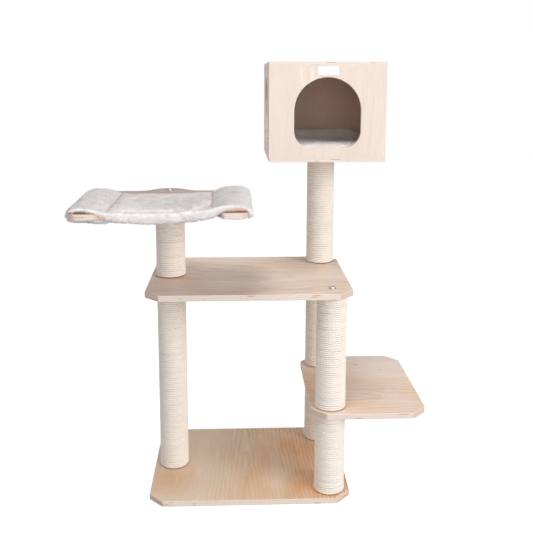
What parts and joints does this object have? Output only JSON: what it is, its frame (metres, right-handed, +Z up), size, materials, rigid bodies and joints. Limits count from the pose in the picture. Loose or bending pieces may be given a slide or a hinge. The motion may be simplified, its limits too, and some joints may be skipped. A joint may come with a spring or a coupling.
{
  "type": "cat tree",
  "caption": "Free-standing cat tree: plywood platforms on sisal-wrapped posts, a box condo with arched doorways and a plush hammock on a turning board.",
  "frame": {"origin": "centre of the base board's underside", "axes": "+Z up, +Y to the back, +X to the right seen from the front, which is the condo's doorway side"},
  "size_m": [0.9981, 0.7742, 1.295],
  "materials": {
    "base_plywood": "clear satin pine plywood",
    "pine_plywood": "clear satin pine plywood",
    "condo_plywood": "pale satin plywood",
    "hammock_plywood": "pale satin plywood",
    "sisal_rope": "twisted natural sisal",
    "paper_tube": "wound brown paper board",
    "plug_wood": "raw softwood",
    "dowel_beech": "raw beech",
    "zinc_steel": "bright zinc",
    "white_plate": "white satin",
    "cushion_plush": "short plush",
    "hammock_plush": "short cream plush"
  },
  "bodies": {
    "frame": {"back_right_lower_post_end_plugs": "plug_wood", "back_right_lower_post_sisal_rope": "sisal_rope", "back_right_lower_post_tube": "paper_tube", "back_right_upper_post_end_plugs": "plug_wood", "back_right_upper_post_sisal_rope": "sisal_rope", "back_right_upper_post_tube": "paper_tube", "base_board": "base_plywood", "base_bolts": "zinc_steel", "base_washers": "zinc_steel", "condo_back_panel": "condo_plywood", "condo_bolt": "zinc_steel", "condo_dowels": "dowel_beech", "condo_floor": "condo_plywood", "condo_front_panel": "condo_plywood", "condo_left_panel": "condo_plywood", "condo_post_end_plugs": "plug_wood", "condo_post_sisal_rope": "sisal_rope", "condo_post_tube": "paper_tube", "condo_right_panel": "condo_plywood", "condo_roof": "condo_plywood", "condo_washer": "zinc_steel", "front_right_lower_post_end_plugs": "plug_wood", "front_right_lower_post_sisal_rope": "sisal_rope", "front_right_lower_post_tube": "paper_tube", "front_right_upper_post_end_plugs": "plug_wood", "front_right_upper_post_sisal_rope": "sisal_rope", "front_right_upper_post_tube": "paper_tube", "hammock_bolt": "zinc_steel", "hammock_washer": "zinc_steel", "joining_studs": "zinc_steel", "left_lower_post_end_plugs": "plug_wood", "left_lower_post_sisal_rope": "sisal_rope", "left_lower_post_tube": "paper_tube", "left_upper_post_end_plugs": "plug_wood", "left_upper_post_sisal_rope": "sisal_rope", "left_upper_post_tube": "paper_tube", "middle_platform": "pine_plywood", "name_plate": "white_plate", "name_plate_pins": "zinc_steel", "platform_bolt": "zinc_steel", "platform_washer": "zinc_steel", "rope_staples": "zinc_steel", "step_platform": "pine_plywood", "threaded_inserts": "zinc_steel"},
    "hammock": {"hammock_board": "hammock_plywood"},
    "cover": {"hammock_cover": "hammock_plush"},
    "cushion": {"condo_cushion": "cushion_plush"}
  },
  "joints": [
    {"name": "hammock_swivel", "type": "hinge", "parent": "frame", "child": "hammock", "pos_m": [-0.24, 0, 0.894], "axis": [0, 0, 1], "range_deg": [-180, 60]},
    {"name": "cover_slide", "type": "slide", "parent": "hammock", "child": "cover", "axis": [0.0262, -0.9997, 0], "range_m": [0, 0.35]},
    {"name": "cushion_lift", "type": "slide", "parent": "frame", "child": "cushion", "axis": [0, 0, 1], "range_m": [0, 0.1]}
  ]
}
